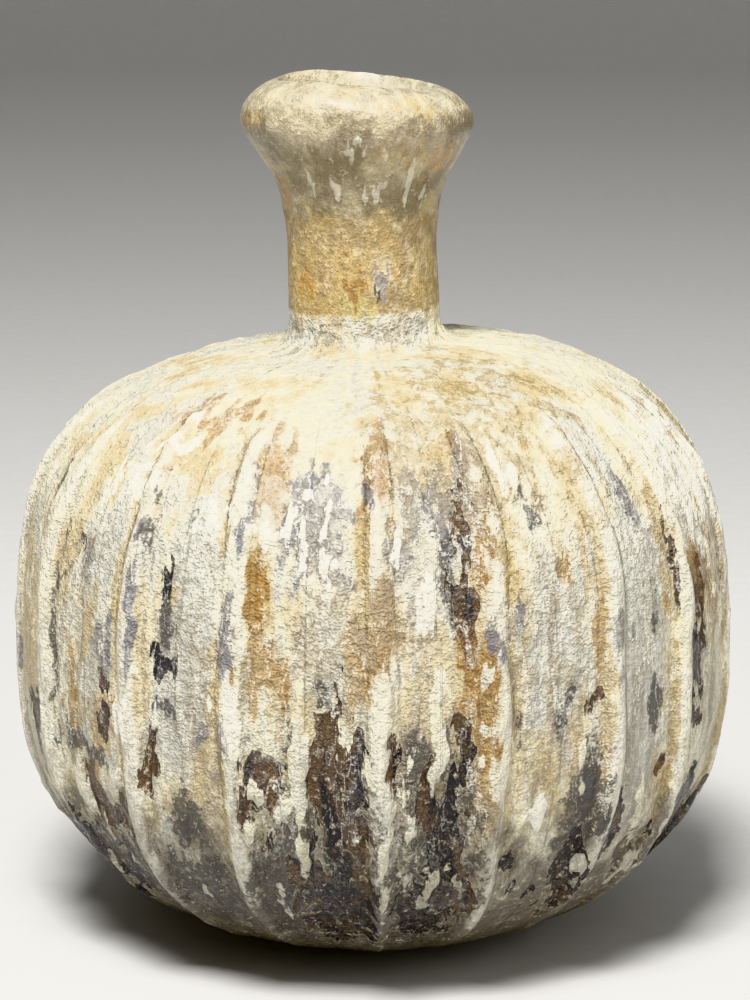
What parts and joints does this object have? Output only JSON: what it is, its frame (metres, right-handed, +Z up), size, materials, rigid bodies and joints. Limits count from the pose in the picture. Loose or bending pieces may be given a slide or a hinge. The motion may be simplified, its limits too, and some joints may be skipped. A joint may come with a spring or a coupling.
{
  "type": "ribbed globular glass bottle",
  "caption": "Ancient blown glass bottle with a ribbed globular body, short neck and rounded lip, hollow, opaque with burial crust.",
  "frame": {"origin": "middle of the foot, on the surface that the bottle stands on", "axes": "+Z up along the body's axis; the pictured side faces -Y, and the neck leans slightly towards -X"},
  "size_m": [0.0896, 0.091, 0.1073],
  "materials": {
    "weathered_glass": "matt burial crust in cream and buff over amber and dark brown glass, slightly glossy at the lip and neck"
  },
  "bodies": {
    "root": {"bottle": "weathered_glass"}
  },
  "joints": []
}
